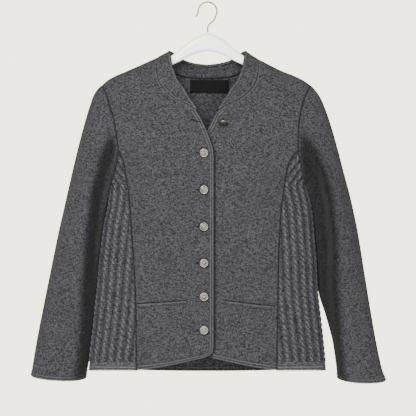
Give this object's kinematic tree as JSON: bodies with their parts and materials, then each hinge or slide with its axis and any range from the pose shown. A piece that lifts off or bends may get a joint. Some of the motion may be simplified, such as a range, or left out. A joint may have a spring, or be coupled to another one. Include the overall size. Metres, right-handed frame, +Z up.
{
  "type": "wool jacket on a hanger",
  "caption": "Round-necked felted wool jacket with cable-knit side panels, stand collar, welt pockets and metal buttons, hung on a hanger with a wire hook.",
  "frame": {"origin": "the underside of the hanger hook's crown, where the hook bears on what holds it", "axes": "+Z up, the jacket's front faces -Y, +X towards the wearer's left"},
  "size_m": [0.6948, 0.1167, 0.7476],
  "materials": {
    "felted_wool": "matt felted knit, dark grey melange",
    "cable_knit": "matt felted cable knit, dark grey melange",
    "label_satin": "black woven satin, bare",
    "pewter": "cast pewter with darkened hollows",
    "white_lacquer": "smooth white, low gloss",
    "brass_wire": "dull drawn wire"
  },
  "bodies": {
    "root": {"front_right": "felted_wool", "front_left": "felted_wool", "side_right": "cable_knit", "side_left": "cable_knit", "back": "felted_wool", "sleeve_right": "felted_wool", "sleeve_left": "felted_wool", "collar": "felted_wool", "pocket_welt_right": "felted_wool", "pocket_welt_left": "felted_wool", "label": "label_satin", "button_1": "pewter", "button_2": "pewter", "button_3": "pewter", "button_4": "pewter", "button_5": "pewter", "button_6": "pewter", "button_7": "pewter", "hanger": "white_lacquer", "hanger_hook": "brass_wire"}
  },
  "joints": []
}
